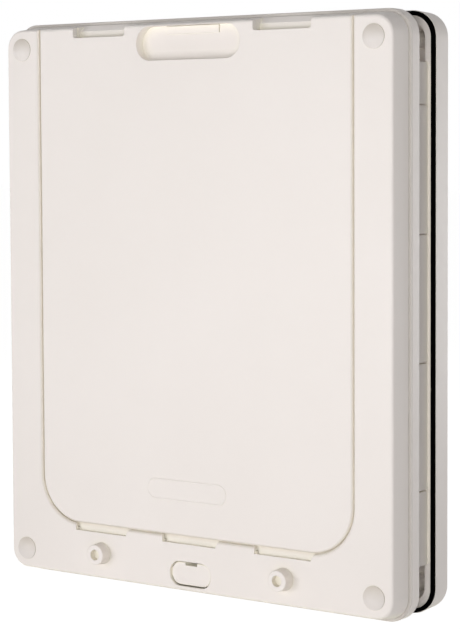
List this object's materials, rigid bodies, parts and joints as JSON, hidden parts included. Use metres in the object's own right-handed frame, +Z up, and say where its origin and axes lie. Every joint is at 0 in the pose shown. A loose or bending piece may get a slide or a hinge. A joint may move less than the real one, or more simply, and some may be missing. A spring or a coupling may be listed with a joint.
{
  "type": "dog door",
  "caption": "Dog door for a house door: inside and outside moulded frames round a lined passage, a hinged flap and a lift-out closing cover with lock knobs.",
  "frame": {"origin": "middle of the cut-out, on the house door's inside face, where the inside frame's rim rests", "axes": "+X right and +Z up as seen from the room, +Y outdoors through the house door"},
  "size_m": [0.382, 0.0858, 0.458],
  "materials": {
    "frame_plastic": "satin",
    "cover_plastic": "satin",
    "foam": "matt",
    "screw_steel": "bright zinc",
    "insert_brass": "turned",
    "magnet": "sintered",
    "flap_plastic": "tinted, translucent",
    "bristle": "pile"
  },
  "bodies": {
    "frame": {"inside_frame": "frame_plastic", "outside_frame": "frame_plastic", "gasket": "foam", "screw_caps": "frame_plastic", "fixing_screws": "screw_steel", "screw_inserts": "insert_brass", "magnet_cover": "cover_plastic", "magnet_carrier": "frame_plastic", "frame_magnet": "magnet", "header_brush": "bristle", "hinge_cap_left": "frame_plastic", "hinge_cap_right": "frame_plastic"},
    "cover": {"closing_cover": "cover_plastic"},
    "left_lock": {"lock_knob_left": "frame_plastic", "knob_clip_left": "screw_steel"},
    "right_lock": {"lock_knob_right": "frame_plastic", "knob_clip_right": "screw_steel"},
    "flap": {"flap": "flap_plastic", "flap_magnet": "magnet", "flap_axle": "screw_steel", "flap_brushes": "bristle"}
  },
  "joints": [
    {"name": "cover_lift", "type": "slide", "parent": "frame", "child": "cover", "axis": [0, 0, 1], "range_m": [0, 0.45]},
    {"name": "left_lock_turn", "type": "hinge", "parent": "frame", "child": "left_lock", "pos_m": [-0.089, -0.0295, -0.203], "axis": [0, 1, 0], "range_deg": [0, 90]},
    {"name": "right_lock_turn", "type": "hinge", "parent": "frame", "child": "right_lock", "pos_m": [0.089, -0.0295, -0.203], "axis": [0, 1, 0], "range_deg": [0, 90]},
    {"name": "flap_swing", "type": "hinge", "parent": "frame", "child": "flap", "pos_m": [0, -0.012, 0.168], "axis": [1, 0, 0], "range_deg": [0, 85]}
  ]
}
